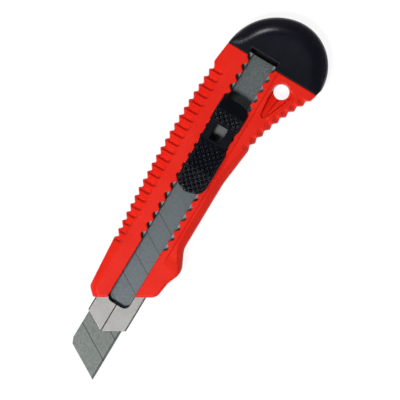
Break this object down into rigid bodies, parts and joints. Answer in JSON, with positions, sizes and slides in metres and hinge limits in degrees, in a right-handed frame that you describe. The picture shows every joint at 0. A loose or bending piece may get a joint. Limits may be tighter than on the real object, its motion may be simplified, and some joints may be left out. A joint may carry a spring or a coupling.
{
  "type": "utility knife",
  "caption": "Snap-off utility knife with a toothed slot, sliding thumb lock, steel blade channel, ribbed grip, hang hole and pull-off end cap.",
  "frame": {"origin": "middle of the bounding box's underside, on the flat back of the handle, with the blade out as stored", "axes": "+X along the knife to the blade tip, +Y across the knife to the cutting edge side, +Z out of the face that carries the thumb slide"},
  "size_m": [0.1928, 0.0509, 0.0158],
  "materials": {
    "handle_plastic": "moulded red plastic, satin gloss",
    "black_plastic": "moulded black plastic, fine texture",
    "channel_steel": "rolled and folded sheet steel",
    "blade_steel": "ground carbon steel, thin oil film",
    "carrier_steel": "plated stamping",
    "spring_steel": "bright spring strip"
  },
  "bodies": {
    "handle": {"handle_body": "handle_plastic", "blade_channel": "channel_steel"},
    "cap": {"end_cap": "black_plastic"},
    "carriage": {"blade_carrier": "carrier_steel", "blade_peg": "carrier_steel", "spring_rivet": "carrier_steel", "lock_spring": "spring_steel", "snap_off_blade": "blade_steel"},
    "thumb": {"thumb_slide": "black_plastic"}
  },
  "joints": [
    {"name": "blade_travel", "type": "slide", "parent": "handle", "child": "carriage", "axis": [1, 0, 0], "range_m": [-0.02675, 0.0428]},
    {"name": "thumb_press", "type": "slide", "parent": "carriage", "child": "thumb", "axis": [0, 0, -1], "range_m": [0, 0.0012], "stiffness_N_per_m": 1500, "springref_m": -0.0006, "deforming": ["lock_spring"]},
    {"name": "cap_pull", "type": "slide", "parent": "handle", "child": "cap", "axis": [-1, 0, 0], "range_m": [0, 0.03]}
  ]
}
